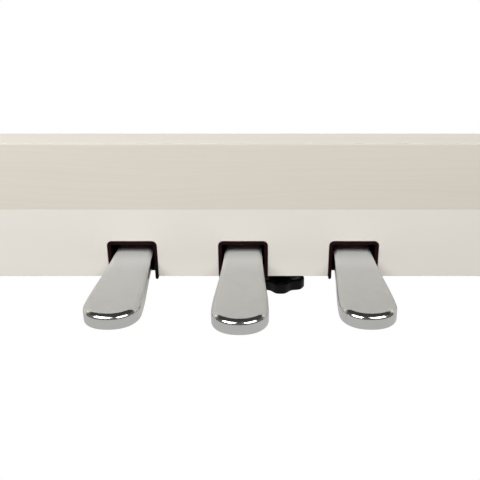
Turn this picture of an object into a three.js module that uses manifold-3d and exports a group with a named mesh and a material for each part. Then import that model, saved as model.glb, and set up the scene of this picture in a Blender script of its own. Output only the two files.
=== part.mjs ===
// Three-pedal board of a digital piano's stand: two boards joined edge to edge, a pedal box behind
// them with three sprung pedals, and a height adjuster that props the middle on the floor.
// Millimetres. Inside the group X is 0 at the middle pedal, Y is 0 at the boards' front face and
// Z is 0 at the floor. The group is placed so that the origin is on the left end bracket.
import * as THREE from 'three';
import { mergeVertices } from 'three/addons/utils/BufferGeometryUtils.js';
import Module from 'manifold-3d';

const wasm = await Module();
wasm.setup();

// ---- driving dimensions ----
const GAP = 0.3;                    // clearance between pieces that touch
const PAST = 5;                     // how far a cutting tool runs past the face it opens
const SPAN = 1280;                  // between the stand's side panels
const FLOOR_GAP = 32;               // floor to the lower panel's bottom edge
const PANEL = { height: 68.2, thickness: 18 };
const CROSSBOARD = { height: 61.2, thickness: 36, edge: 1 };
const NOTCH = { width: 46.2, height: 36.1, corner: 4.5, wall: 3, innerCorner: 1.6, foot: 3, proud: 0.5 };
const PEDAL = {
  pitch: 104, top: 23.5, height: 12.5, bevel: 4, headHalf: 23.3, noseLength: 24, nosePower: 2.25,
  shoulder: 30, waist: 56, waistHalf: 18.4, neck: 114, neckHalf: 18.1,
  reach: 116.5, middleExtra: 7.9, tail: 60, skin: 4.5, wall: 3.4, hollow: 80,
};
const LEVER = { width: 24, thickness: 5, front: 6.6, eyeRadius: 8, eyeBore: 5.6 };
const PIVOT = { y: 165, z: 17, pinRadius: 4, bushInner: 4.12, bushOuter: 5.3, bushLength: 30, pinHead: 6 };
const PRESS_DEG = 3.2;              // full stroke of a pedal
const CHEEK = { inner: 32, thickness: 2.5, front: 152, back: 180, top: 28, bore: 4.3 };
const BOX = { half: 215, depth: 186.7, sheet: 1.5, bottom: -3, wallTop: 36, earHalf: 235, earTop: 58 };
const LID = { lip: 12 };
const SPRING = { y: 92, radius: 7.5, wire: 0.9, turns: 3, flatTurns: 0.8, endRise: 1.2 };
const FELT = { halfWidth: 14, front: 34, back: 52 };
const STOP_RUBBER = { halfWidth: 11, front: 34, back: 52, clearance: 0.4 };
const SENSOR = { y: 128, size: 12, height: 4.7, floor: 0.7, plungerRadius: 2.5, bore: 2.85 };
const CIRCUIT = { thickness: 1.6, rise: 2.5, left: -120, right: 170, front: 116, back: 140 };
const SPACER = { radius: 4, inset: 12 };
const TONGUE = { left: 138, back: 202 };
const SOCKET = { x: 154, width: 16, height: 13, front: 186, back: 206, endWall: 4 };
const MOUTH = { width: 11, height: 8.4, keyWidth: 4, keyDepth: 1.4 };
const ADJUSTER = { x: 36.4, y: 46, knobRadius: 26.4, lobes: 6, knobBottom: 2, knobHeight: 11, edge: 1.2 };
const SCALLOP = { halfAngle: 14, control: 7 };
const HUB = { radius: 10, height: 3 };
const ROD = { radius: 4.9, top: 52, chamfer: 1.5, nutBore: 5.2, nutFlats: 17, nutHeight: 8 };
const FOOT = { radius: 17, thickness: 3.5, boss: 4, bossHeight: 1.5, recess: 18 };
const BRACKET = {
  plate: 3, flange: 50, depth: 44.7, inset: 4, hole: 2.75, screwInset: 32, screwRise: 18, holeBack: 8,
};
const JOINER = { x: 430, width: 60, plate: 2, leg: 42 };
const SCREW = { shank: 1.75, clearance: 2.3, pilot: 2.05, head: 4.2, headHeight: 2.4, grip: 12 };
const LEVER_SCREW = { y: 22, shank: 2.5, bore: 2.8, head: 4.4, headHeight: 3, reach: 10 };
const BOX_SCREWS = { x: 225, z: [14, 50] };

// ---- heights above the floor, worked out from the dimensions ----
const PANEL_TOP = FLOOR_GAP + PANEL.height;
const CROSSBOARD_BOTTOM = PANEL_TOP + GAP;
const CROSSBOARD_TOP = CROSSBOARD_BOTTOM + CROSSBOARD.height;
const NOTCH_TOP = FLOOR_GAP + NOTCH.height;
const PEDAL_TOP = FLOOR_GAP + PEDAL.top;
const PEDAL_BOTTOM = PEDAL_TOP - PEDAL.height;
const LEVER_TOP = PEDAL_BOTTOM + LEVER.thickness;
const PIVOT_Z = FLOOR_GAP + PIVOT.z;
const BOX_FRONT = PANEL.thickness + GAP;
const BOX_BACK = BOX_FRONT + BOX.depth;
const BOX_BOTTOM = FLOOR_GAP + BOX.bottom;
const BOX_FLOOR = BOX_BOTTOM + BOX.sheet;
const BOX_TOP = FLOOR_GAP + BOX.wallTop;
const LID_UNDERSIDE = BOX_TOP + GAP;
const REST_Z = BOX_FLOOR + GAP;     // where pieces stand on the box's floor
const BRACKET_Z = CROSSBOARD_BOTTOM + CROSSBOARD.height / 2;
const BRACKET_Y = CROSSBOARD.thickness + GAP + BRACKET.depth / 2;
const PEDALS = [
  { name: 'soft', x: -PEDAL.pitch, reach: PEDAL.reach },
  { name: 'sostenuto', x: 0, reach: PEDAL.reach + PEDAL.middleExtra },
  { name: 'damper', x: PEDAL.pitch, reach: PEDAL.reach },
];
const ENDS = [{ name: 'left', side: -1 }, { name: 'right', side: 1 }];

// ---- materials ----
const finish = (color, roughness, metalness = 0) =>
  new THREE.MeshStandardMaterial({ color, roughness, metalness });
const FINISHES = {
  woodgrain: () => finish('#d8d2c4', 0.55),
  whiteLacquer: () => finish('#e4dfd6', 0.35),
  bezel: () => finish('#1c0d10', 0.35),
  satinMetal: () => finish('#bdbcb6', 0.28, 1),
  blackSteel: () => finish('#141414', 0.5, 0.3),
  zincSteel: () => finish('#a8aaa9', 0.4, 1),
  springSteel: () => finish('#85888b', 0.3, 1),
  knob: () => finish('#0e0d0f', 0.5),
  nylon: () => finish('#e8e6dd', 0.5),
  felt: () => finish('#6e2328', 0.95),
  rubber: () => finish('#151515', 0.85),
  circuit: () => finish('#1f5a37', 0.45),
  blackPlastic: () => finish('#1a1a1b', 0.45),
};

// ---- solids from outlines ----
// Each plane gives the outline's first and second axes and the axis it is drawn out along.
const PLANES = {
  plan: [[1, 0, 0], [0, 1, 0], [0, 0, 1]],
  side: [[0, 1, 0], [0, 0, 1], [1, 0, 0]],
  front: [[1, 0, 0], [0, 0, 1], [0, -1, 0]],
};

/** Draws an outline out between two coordinates of the axis that crosses its plane. */
function prism(shape, plane, from, to, options = {}) {
  const settings = { depth: to - from, bevelEnabled: false, curveSegments: 8, steps: 1, ...options };
  const geometry = new THREE.ExtrudeGeometry(shape, settings);
  const [u, v, w] = PLANES[plane].map((axis) => new THREE.Vector3(...axis));
  const start = plane === 'front' ? -to : from;
  geometry.translate(0, 0, start);
  geometry.applyMatrix4(new THREE.Matrix4().makeBasis(u, v, w));
  return geometry;
}

const polygon = (points) => new THREE.Shape(points.map(([u, v]) => new THREE.Vector2(u, v)));

/** A block between two corners. */
function block([x0, x1], [y0, y1], [z0, z1]) {
  const geometry = new THREE.BoxGeometry(x1 - x0, y1 - y0, z1 - z0);
  return geometry.translate((x0 + x1) / 2, (y0 + y1) / 2, (z0 + z1) / 2);
}

/** A round bar along an axis: 'x', 'y' or 'z', from one coordinate to another. */
function bar(axis, centre, radius, from, to, segments = 16) {
  const geometry = new THREE.CylinderGeometry(radius, radius, to - from, segments);
  const middle = new THREE.Vector3(...centre);
  middle[axis] = (from + to) / 2;
  if (axis === 'x') geometry.rotateZ(-Math.PI / 2);
  if (axis === 'z') geometry.rotateX(Math.PI / 2);
  return geometry.translate(middle.x, middle.y, middle.z);
}

/** A solid of revolution about the Z axis from [radius, height] points, moved to a centre. */
function turned(points, [x, y, z], segments = 24) {
  const geometry = new THREE.LatheGeometry(points.map(([r, h]) => new THREE.Vector2(r, h)), segments);
  return geometry.rotateX(Math.PI / 2).translate(x, y, z);
}

// ---- booleans ----
function toSolid(geometry) {
  const bare = geometry.clone();
  bare.deleteAttribute('normal');
  bare.deleteAttribute('uv');
  const merged = mergeVertices(bare, 1e-4);
  const vertProperties = new Float32Array(merged.attributes.position.array);
  const triVerts = new Uint32Array(merged.index.array);
  return new wasm.Manifold(new wasm.Mesh({ numProp: 3, vertProperties, triVerts }));
}

function toGeometry(solid) {
  const mesh = solid.getMesh();
  const geometry = new THREE.BufferGeometry();
  geometry.setAttribute('position', new THREE.BufferAttribute(mesh.vertProperties, 3));
  geometry.setIndex(new THREE.BufferAttribute(mesh.triVerts, 1));
  return geometry;
}

/** Joins the added geometries and takes the removed ones away. */
function carve(added, removed = []) {
  const whole = added.map(toSolid).reduce((sum, solid) => sum.add(solid));
  const left = removed.map(toSolid).reduce((sum, solid) => sum.subtract(solid), whole);
  return toGeometry(left);
}

// ---- the assembly ----
const board = new THREE.Group();
board.position.set(SPAN / 2, -BRACKET_Y, -BRACKET_Z);

function place(name, geometry, material) {
  const mesh = new THREE.Mesh(geometry, material());
  mesh.name = name;
  board.add(mesh);
}

/** Places of the screws that hold an end bracket to the crossboard. */
const bracketScrews = (side) => [-BRACKET.screwRise, BRACKET.screwRise].map((dz) =>
  ({ x: side * (SPAN / 2 - BRACKET.screwInset), z: BRACKET_Z + dz }));

const boxScrews = () => ENDS.flatMap(({ side }) =>
  BOX_SCREWS.z.map((z) => ({ x: side * BOX_SCREWS.x, z: FLOOR_GAP + z })));

/** Blind pilot hole for a wood screw driven forwards into a board's back face. */
const pilotHole = ({ x, z }, back) => bar('y', [x, 0, z], SCREW.pilot, back - SCREW.grip, back + PAST, 12);

// A board's cross-section in the side plane, with its four long edges eased.
function boardSection(thickness, bottom, top, edge) {
  return polygon([
    [edge, bottom], [thickness - edge, bottom], [thickness, bottom + edge], [thickness, top - edge],
    [thickness - edge, top], [edge, top], [0, top - edge], [0, bottom + edge],
  ]);
}

function makeCrossboard() {
  const { thickness, edge } = CROSSBOARD;
  const section = boardSection(thickness, CROSSBOARD_BOTTOM, CROSSBOARD_TOP, edge);
  const holes = ENDS.flatMap(({ side }) => bracketScrews(side)).map((at) => pilotHole(at, thickness));
  place('crossboard', carve([prism(section, 'side', -SPAN / 2, SPAN / 2)], holes), FINISHES.woodgrain);
}

// An upside-down U opening with rounded top corners, drawn from below its lower edge.
function archway(halfWidth, top, bottom, corner) {
  const shape = new THREE.Shape();
  shape.moveTo(-halfWidth, bottom);
  shape.lineTo(halfWidth, bottom);
  shape.lineTo(halfWidth, top - corner);
  shape.absarc(halfWidth - corner, top - corner, corner, 0, Math.PI / 2);
  shape.lineTo(-halfWidth + corner, top);
  shape.absarc(-halfWidth + corner, top - corner, corner, Math.PI / 2, Math.PI);
  return shape;
}

function makeLowerPanel() {
  const face = polygon([
    [-SPAN / 2, FLOOR_GAP], [SPAN / 2, FLOOR_GAP], [SPAN / 2, PANEL_TOP], [-SPAN / 2, PANEL_TOP],
  ]);
  const half = NOTCH.width / 2 + GAP;
  const opening = archway(half, NOTCH_TOP + GAP, FLOOR_GAP - PAST, NOTCH.corner + GAP);
  const notches = PEDALS.map(({ x }) =>
    prism(opening, 'front', -PAST, PANEL.thickness + PAST, { curveSegments: 4 }).translate(x, 0, 0));
  const holes = boxScrews().map((at) => pilotHole(at, PANEL.thickness));
  const solid = carve([prism(face, 'front', 0, PANEL.thickness)], [...notches, ...holes]);
  place('lower_panel', solid, FINISHES.whiteLacquer);
}

function makeBezel({ name, x }) {
  const half = NOTCH.width / 2;
  const arm = NOTCH.wall / 2;
  const foot = FLOOR_GAP - NOTCH.foot + arm;
  const outer = archway(half, NOTCH_TOP, foot, NOTCH.corner);
  const inner = archway(half - NOTCH.wall, NOTCH_TOP - NOTCH.wall, foot - PAST, NOTCH.innerCorner);
  const depth = [-NOTCH.proud, PANEL.thickness];
  const feet = [-1, 1].map((side) => bar('y', [side * (half - arm), 0, foot], arm, ...depth, 12));
  const body = prism(outer, 'front', ...depth, { curveSegments: 4 });
  const passage = prism(inner, 'front', -PAST, PANEL.thickness + PAST, { curveSegments: 2 });
  const hollow = carve([body], [passage]);
  place(`${name}_bezel`, carve([hollow, ...feet]).translate(x, 0, 0), FINISHES.bezel);
}

function makeEndBracket({ name, side }) {
  const end = side * SPAN / 2;
  const inward = -side;
  const back = CROSSBOARD.thickness + GAP;
  const bottom = CROSSBOARD_BOTTOM + BRACKET.inset;
  const top = CROSSBOARD_TOP - BRACKET.inset;
  const across = (from, to) => [end + inward * from, end + inward * to].sort((a, b) => a - b);
  const plate = block(across(0, BRACKET.plate), [back, back + BRACKET.depth], [bottom, top]);
  const flange = block(across(0, BRACKET.flange), [back, back + BRACKET.plate], [bottom, top]);
  const throughPlate = [-BRACKET.screwRise, BRACKET.screwRise].map((dz) =>
    bar('x', [0, BRACKET_Y + BRACKET.holeBack, BRACKET_Z + dz], BRACKET.hole, end - PAST, end + PAST, 12));
  const throughFlange = bracketScrews(side).map(({ x, z }) =>
    bar('y', [x, 0, z], SCREW.clearance, back - PAST, back + PAST, 12));
  const solid = carve([plate, flange], [...throughPlate, ...throughFlange]);
  place(`end_bracket_${name}`, solid, FINISHES.zincSteel);
}

// A wood screw driven forwards: a domed head behind the plate and a shank with a point.
function makeWoodScrew(name, { x, z }, seat) {
  const { shank, head, headHeight, grip } = SCREW;
  const profile = [
    [0, -grip - shank], [shank, -grip], [shank, 0], [head, 0],
    [head * 0.8, headHeight * 0.7], [head * 0.4, headHeight], [0, headHeight],
  ];
  const geometry = turned(profile, [0, 0, 0], 12);
  geometry.rotateX(-Math.PI / 2).translate(x, seat, z);
  place(name, geometry, FINISHES.zincSteel);
}

// A joggled plate that ties the thick crossboard to the thin panel from behind.
function makeJoiningPlate({ name, side }) {
  const { plate, leg, width } = JOINER;
  const low = PANEL.thickness + GAP;
  const high = CROSSBOARD.thickness + GAP;
  const step = CROSSBOARD_BOTTOM - GAP;
  const section = polygon([
    [low, step - leg], [low + plate, step - leg], [low + plate, step - plate], [high + plate, step - plate],
    [high + plate, step + leg], [high, step + leg], [high, step], [low, step],
  ]);
  const middle = side * JOINER.x;
  const solid = prism(section, 'side', middle - width / 2, middle + width / 2);
  place(`joining_plate_${name}`, solid, FINISHES.zincSteel);
}

function makePedalBox() {
  const { half, sheet, earHalf, earTop } = BOX;
  const inside = block([-half + sheet, half - sheet], [BOX_FRONT + sheet, BOX_BACK - sheet],
    [BOX_FLOOR, BOX_TOP + PAST]);
  const shell = carve([block([-half, half], [BOX_FRONT, BOX_BACK], [BOX_BOTTOM, BOX_TOP])], [inside]);
  const face = block([-earHalf, earHalf], [BOX_FRONT, BOX_FRONT + sheet], [BOX_BOTTOM, FLOOR_GAP + earTop]);
  const doorHalf = NOTCH.width / 2 - NOTCH.wall + 2 * GAP;
  const doorTop = NOTCH_TOP - NOTCH.wall;
  const doors = PEDALS.map(({ x }) =>
    block([x - doorHalf, x + doorHalf], [BOX_FRONT - PAST, BOX_FRONT + PAST], [BOX_FLOOR, doorTop]));
  const socketHalf = SOCKET.width / 2 + GAP;
  const socketFloor = REST_Z + CIRCUIT.rise + CIRCUIT.thickness;
  const socketHole = block([SOCKET.x - socketHalf, SOCKET.x + socketHalf], [BOX_BACK - PAST, BOX_BACK + PAST],
    [socketFloor, socketFloor + SOCKET.height + 3 * GAP]);
  const rodAxis = [ADJUSTER.x, ADJUSTER.y, 0];
  const rodHole = bar('z', rodAxis, ROD.nutBore + GAP, BOX_BOTTOM - PAST, BOX_FLOOR + PAST, 16);
  const screwHoles = boxScrews().map(({ x, z }) =>
    bar('y', [x, 0, z], SCREW.clearance, BOX_FRONT - PAST, BOX_FRONT + PAST, 12));
  const solid = carve([shell, face], [...doors, socketHole, rodHole, ...screwHoles]);
  place('pedal_box', solid, FINISHES.blackSteel);
}

function makeLid() {
  const { half, sheet } = BOX;
  const inside = half + GAP;
  const rear = BOX_BACK + GAP;
  const front = BOX_FRONT + sheet + GAP;
  const outer = block([-inside - sheet, inside + sheet], [front, rear + sheet],
    [BOX_TOP - LID.lip, LID_UNDERSIDE + sheet]);
  const hollow = block([-inside, inside], [front - PAST, rear], [BOX_TOP - LID.lip - PAST, LID_UNDERSIDE]);
  place('pedal_box_lid', carve([outer], [hollow]), FINISHES.blackSteel);
}

/** Points round a pedal's nose, from its right side over the tip to its left side. */
function nosePoints(half, length, centre) {
  const power = 2 / PEDAL.nosePower;
  const steps = 20;
  return Array.from({ length: steps + 1 }, (_, k) => {
    const angle = Math.PI * k / steps;
    const x = Math.sign(Math.cos(angle)) * half * Math.abs(Math.cos(angle)) ** power;
    return [x, centre - length * Math.sin(angle) ** power];
  });
}

// Plan outline of a pedal: a full round nose that narrows along a smooth curve into a straight neck.
function pedalOutline(reach, inset = 0, tail = PEDAL.tail) {
  const head = PEDAL.headHalf - inset;
  const neck = PEDAL.neckHalf - inset;
  const waist = PEDAL.waistHalf - inset;
  const centre = PEDAL.noseLength - reach;
  const shoulder = centre + PEDAL.shoulder;
  const waistY = centre + PEDAL.waist;
  const neckY = centre + PEDAL.neck;
  const shape = new THREE.Shape();
  shape.moveTo(-head, centre);
  nosePoints(head, PEDAL.noseLength - inset, centre).reverse().slice(1).forEach((at) => shape.lineTo(...at));
  shape.bezierCurveTo(head, shoulder, waist, waistY, neck, neckY);
  shape.lineTo(neck, tail);
  shape.lineTo(-neck, tail);
  shape.lineTo(-neck, neckY);
  shape.bezierCurveTo(-waist, waistY, -head, shoulder, -head, centre);
  return shape;
}

// A cast pedal: rounded top edge, hollow underside, and a thinner tail that the lever is screwed to.
function makeCasting({ name, x, reach }) {
  const { bevel, wall, skin, tail } = PEDAL;
  const rounded = { bevelEnabled: true, bevelThickness: bevel, bevelSize: bevel, bevelOffset: -bevel,
    bevelSegments: 3, curveSegments: 8 };
  const low = PEDAL_BOTTOM - bevel;
  const body = prism(pedalOutline(reach), 'plan', low, PEDAL_TOP - bevel, rounded);
  const across = [-PEDAL.headHalf - PAST, PEDAL.headHalf + PAST];
  const hollowTail = PEDAL.noseLength - reach + PEDAL.hollow;
  const rim = { curveSegments: 6 };
  const scoop = prism(pedalOutline(reach, wall), 'plan', PEDAL_BOTTOM - PAST, PEDAL_TOP - skin, rim);
  const keep = block(across, [hollowTail, tail + PAST], [PEDAL_BOTTOM - 2 * PAST, PEDAL_TOP + PAST]);
  const hollow = carve([scoop], [keep]);
  const below = block(across, [-reach - PAST, tail + PAST], [low - PAST, PEDAL_BOTTOM]);
  const leverSeat = block(across, [LEVER.front - GAP, tail + PAST], [PEDAL_BOTTOM - PAST, LEVER_TOP + GAP]);
  const reachUp = PEDAL_BOTTOM + LEVER_SCREW.reach + GAP;
  const screwHole = bar('z', [0, LEVER_SCREW.y, 0], LEVER_SCREW.bore, PEDAL_BOTTOM - PAST, reachUp, 12);
  const solid = carve([body], [below, hollow, leverSeat, screwHole]);
  place(`${name}_pedal`, solid.translate(x, 0, 0), FINISHES.satinMetal);
}

// The lever: a flat bar with a bored eye at its back end.
function makeLever({ name, x }) {
  const half = LEVER.width / 2;
  const flat = block([-half, half], [LEVER.front, PIVOT.y], [PEDAL_BOTTOM, LEVER_TOP]);
  const eye = bar('x', [0, PIVOT.y, PIVOT_Z], LEVER.eyeRadius, -half, half, 24);
  const bore = bar('x', [0, PIVOT.y, PIVOT_Z], LEVER.eyeBore, -half - PAST, half + PAST, 24);
  const screwHole = bar('z', [0, LEVER_SCREW.y, 0], LEVER_SCREW.bore, PEDAL_BOTTOM - PAST,
    LEVER_TOP + PAST, 12);
  place(`${name}_lever`, carve([flat, eye], [bore, screwHole]).translate(x, 0, 0), FINISHES.zincSteel);
}

function makeLeverScrew({ name, x }) {
  const { y, shank, head, headHeight, reach } = LEVER_SCREW;
  const seat = PEDAL_BOTTOM - GAP;
  const profile = [[0, -headHeight], [head * 0.85, -headHeight], [head, -headHeight * 0.6], [head, 0],
    [shank, 0], [shank, reach], [0, reach]];
  place(`${name}_lever_screw`, turned(profile, [x, y, seat], 12), FINISHES.zincSteel);
}

function makeBush({ name, x }) {
  const half = PIVOT.bushLength / 2;
  const centre = [0, PIVOT.y, PIVOT_Z];
  const sleeve = bar('x', centre, PIVOT.bushOuter, -half, half, 24);
  const bore = bar('x', centre, PIVOT.bushInner, -half - PAST, half + PAST, 24);
  place(`${name}_bush`, carve([sleeve], [bore]).translate(x, 0, 0), FINISHES.nylon);
}

// The pivot pin has a head on its left and stands out far enough on its right for a clip.
function makePivotPin({ name, x }) {
  const outside = CHEEK.inner / 2 + CHEEK.thickness;
  const end = outside + 4;
  const centre = [0, PIVOT.y, PIVOT_Z];
  const shaft = bar('x', centre, PIVOT.pinRadius, -outside - GAP, end, 24);
  const head = bar('x', centre, PIVOT.pinHead, -end + 1, -outside - GAP, 24);
  place(`${name}_pivot_pin`, carve([shaft, head]).translate(x, 0, 0), FINISHES.zincSteel);
}

// A U of sheet steel welded to the box's floor, whose two cheeks hold the pin.
function makePivotBracket({ name, x }) {
  const inner = CHEEK.inner / 2;
  const outer = inner + CHEEK.thickness;
  const top = FLOOR_GAP + CHEEK.top;
  const whole = block([-outer, outer], [CHEEK.front, CHEEK.back], [REST_Z, top]);
  const inside = block([-inner, inner], [CHEEK.front - PAST, CHEEK.back + PAST],
    [REST_Z + CHEEK.thickness, top + PAST]);
  const bores = bar('x', [0, PIVOT.y, PIVOT_Z], CHEEK.bore, -outer - PAST, outer + PAST, 24);
  place(`${name}_pivot_bracket`, carve([whole], [inside, bores]).translate(x, 0, 0), FINISHES.blackSteel);
}

/** The helix of a compression spring whose first and last turns lie flat. */
class SpringPath extends THREE.Curve {
  constructor(x, y, bottom, top) {
    super();
    Object.assign(this, { x, y, bottom, top });
  }

  getPoint(t, target = new THREE.Vector3()) {
    const angle = 2 * Math.PI * SPRING.turns * t;
    const flat = SPRING.flatTurns / SPRING.turns;
    const climb = THREE.MathUtils.clamp((t - flat) / (1 - 2 * flat), 0, 1);
    const height = THREE.MathUtils.lerp(this.bottom, this.top, climb);
    const settle = SPRING.wire * SPRING.endRise * (THREE.MathUtils.clamp(t / flat, 0, 1) - 1);
    const lift = SPRING.wire * SPRING.endRise * THREE.MathUtils.clamp((t - 1 + flat) / flat, 0, 1);
    return target.set(this.x + SPRING.radius * Math.cos(angle), this.y + SPRING.radius * Math.sin(angle),
      height + settle + lift);
  }
}

function makeSpring({ name, x }) {
  const room = SPRING.wire * (1 + SPRING.endRise);
  const path = new SpringPath(x, SPRING.y, REST_Z + room, PEDAL_BOTTOM - room - GAP);
  const wire = polygon([0, 1, 2, 3, 4, 5].map((k) =>
    [SPRING.wire * Math.cos(k * Math.PI / 3), SPRING.wire * Math.sin(k * Math.PI / 3)]));
  const options = { steps: SPRING.turns * 12, extrudePath: path, bevelEnabled: false };
  place(`${name}_spring`, new THREE.ExtrudeGeometry(wire, options), FINISHES.springSteel);
}

function makeStops({ name, x }) {
  const felt = block([x - FELT.halfWidth, x + FELT.halfWidth], [FELT.front, FELT.back],
    [PEDAL_TOP + GAP, LID_UNDERSIDE - GAP]);
  place(`${name}_rest_felt`, felt, FINISHES.felt);
  const stroke = (PIVOT.y - STOP_RUBBER.front) * Math.sin(THREE.MathUtils.degToRad(PRESS_DEG));
  const top = PEDAL_BOTTOM - stroke - STOP_RUBBER.clearance;
  const half = STOP_RUBBER.halfWidth;
  const rubber = block([x - half, x + half], [STOP_RUBBER.front, STOP_RUBBER.back], [REST_Z, top]);
  place(`${name}_stop_rubber`, rubber, FINISHES.rubber);
}

// ---- sensors, circuit board and socket ----
const CIRCUIT_BOTTOM = REST_Z + CIRCUIT.rise;
const CIRCUIT_TOP = CIRCUIT_BOTTOM + CIRCUIT.thickness;
const SENSOR_BOTTOM = CIRCUIT_TOP + GAP;
const SENSOR_TOP = SENSOR_BOTTOM + SENSOR.height;

function makeCircuitBoard() {
  const { left, right, front, back } = CIRCUIT;
  const outline = polygon([[left, front], [right, front], [right, TONGUE.back], [TONGUE.left, TONGUE.back],
    [TONGUE.left, back], [left, back]]);
  place('circuit_board', prism(outline, 'plan', CIRCUIT_BOTTOM, CIRCUIT_TOP), FINISHES.circuit);
  for (const [index, x] of [left + SPACER.inset, right - SPACER.inset].entries()) {
    const spacer = bar('z', [x, (front + back) / 2, 0], SPACER.radius, REST_Z, CIRCUIT_BOTTOM - GAP, 16);
    place(`board_spacer_${ENDS[index].name}`, spacer, FINISHES.nylon);
  }
}

function makeSensor({ name, x }) {
  const half = SENSOR.size / 2;
  const housing = block([x - half, x + half], [SENSOR.y - half, SENSOR.y + half], [SENSOR_BOTTOM, SENSOR_TOP]);
  const plungerTop = PEDAL_BOTTOM - GAP;
  const stroke = (PIVOT.y - SENSOR.y) * Math.sin(THREE.MathUtils.degToRad(PRESS_DEG));
  const wellFloor = SENSOR_BOTTOM + SENSOR.floor;
  const plungerBottom = wellFloor + stroke + GAP;
  const well = bar('z', [x, SENSOR.y, 0], SENSOR.bore, wellFloor, SENSOR_TOP + PAST, 16);
  place(`${name}_sensor`, carve([housing], [well]), FINISHES.blackPlastic);
  const plunger = bar('z', [x, SENSOR.y, 0], SENSOR.plungerRadius, plungerBottom, plungerTop, 16);
  place(`${name}_sensor_plunger`, plunger, FINISHES.nylon);
}

function makeSocket() {
  const { x, width, height, front, back, endWall } = SOCKET;
  const bottom = CIRCUIT_TOP + GAP;
  const middle = bottom + height / 2;
  const roof = middle + MOUTH.height / 2;
  const inside = [front + endWall, back + PAST];
  const body = block([x - width / 2, x + width / 2], [front, back], [bottom, bottom + height]);
  const mouth = block([x - MOUTH.width / 2, x + MOUTH.width / 2], inside, [middle - MOUTH.height / 2, roof]);
  const keyHalf = MOUTH.keyWidth / 2;
  const keyway = block([x - keyHalf, x + keyHalf], inside, [middle, roof + MOUTH.keyDepth]);
  place('cable_socket', carve([body], [mouth, keyway]), FINISHES.blackPlastic);
}

// ---- height adjuster ----
/** A round of equal lobes with a hollow curve between each pair; one lobe points forwards. */
function lobedOutline() {
  const { knobRadius: radius, lobes } = ADJUSTER;
  const shape = new THREE.Shape();
  const pitch = 2 * Math.PI / lobes;
  const hollow = THREE.MathUtils.degToRad(SCALLOP.halfAngle);
  const at = (angle, r) => [r * Math.cos(angle), r * Math.sin(angle)];
  for (let k = 0; k < lobes; k += 1) {
    const middle = -Math.PI / 2 + k * pitch;
    const start = middle - pitch / 2 + hollow;
    const end = middle + pitch / 2 - hollow;
    if (k === 0) shape.moveTo(...at(start, radius));
    shape.absarc(0, 0, radius, start, end);
    const control = at(end + hollow, radius - SCALLOP.control);
    shape.quadraticCurveTo(...control, ...at(end + 2 * hollow, radius));
  }
  return shape;
}

function makeAdjuster() {
  const { x, y, knobBottom, knobHeight, edge } = ADJUSTER;
  const rounded = { bevelEnabled: true, bevelThickness: edge, bevelSize: edge, bevelOffset: -edge,
    bevelSegments: 1, curveSegments: 4 };
  const top = knobBottom + knobHeight;
  const wheel = prism(lobedOutline(), 'plan', knobBottom + edge, top - edge, rounded);
  const hub = bar('z', [0, 0, 0], HUB.radius, top - edge, top + HUB.height, 24);
  const bore = bar('z', [0, 0, 0], ROD.radius + GAP, -PAST, top + HUB.height + PAST, 16);
  const recess = bar('z', [0, 0, 0], FOOT.recess, -PAST, FOOT.thickness + 1, 32);
  const knob = carve([wheel, hub], [bore, recess]).translate(x, y, 0);
  place('adjuster_knob', knob, FINISHES.knob);

  const foot = [[0, 0], [FOOT.radius - 1, 0], [FOOT.radius, 1], [FOOT.radius, FOOT.thickness],
    [FOOT.boss, FOOT.thickness], [FOOT.boss, FOOT.thickness + FOOT.bossHeight],
    [0, FOOT.thickness + FOOT.bossHeight]];
  place('adjuster_foot', turned(foot, [x, y, 0], 32), FINISHES.rubber);

  const rodBottom = FOOT.thickness + FOOT.bossHeight + GAP;
  const rod = turned([[0, rodBottom], [ROD.radius, rodBottom], [ROD.radius, ROD.top - ROD.chamfer],
    [ROD.radius - ROD.chamfer, ROD.top], [0, ROD.top]], [x, y, 0], 16);
  place('adjuster_rod', rod, FINISHES.zincSteel);

  const hexRadius = ROD.nutFlats / Math.sqrt(3);
  const hex = bar('z', [x, y, 0], hexRadius, REST_Z, REST_Z + ROD.nutHeight, 6);
  const thread = bar('z', [x, y, 0], ROD.nutBore, REST_Z - PAST, REST_Z + ROD.nutHeight + PAST, 16);
  place('adjuster_nut', carve([hex], [thread]), FINISHES.zincSteel);
}

// ---- build every piece ----
makeCrossboard();
makeLowerPanel();
ENDS.forEach(makeEndBracket);
ENDS.forEach(makeJoiningPlate);
makePedalBox();
makeLid();
makeCircuitBoard();
makeSocket();
makeAdjuster();
for (const pedal of PEDALS) {
  makeBezel(pedal);
  makeCasting(pedal);
  makeLever(pedal);
  makeLeverScrew(pedal);
  makeBush(pedal);
  makePivotPin(pedal);
  makePivotBracket(pedal);
  makeSpring(pedal);
  makeStops(pedal);
  makeSensor(pedal);
}
for (const { name, side } of ENDS) {
  const bracketSeat = CROSSBOARD.thickness + GAP + BRACKET.plate + GAP;
  const levels = ['lower', 'upper'];
  bracketScrews(side).forEach((at, index) =>
    makeWoodScrew(`bracket_screw_${name}_${levels[index]}`, at, bracketSeat));
  BOX_SCREWS.z.forEach((z, index) => {
    const at = { x: side * BOX_SCREWS.x, z: FLOOR_GAP + z };
    makeWoodScrew(`box_screw_${name}_${levels[index]}`, at, BOX_FRONT + BOX.sheet + GAP);
  });
}

export default board;
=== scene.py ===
"""Looks of the three-pedal board of a digital piano's stand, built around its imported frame.

Everything is in metres in the frame of the CAD model: X runs along the board, Y from its front to
its back and Z up. Sizes that the frame holds are read from it; the others are fields of classes.
"""

import logging
import math
from dataclasses import dataclass, field
from enum import Enum
from typing import Iterable, Sequence, Union

import bmesh
import bpy
from mathutils import Matrix, Vector


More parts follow.
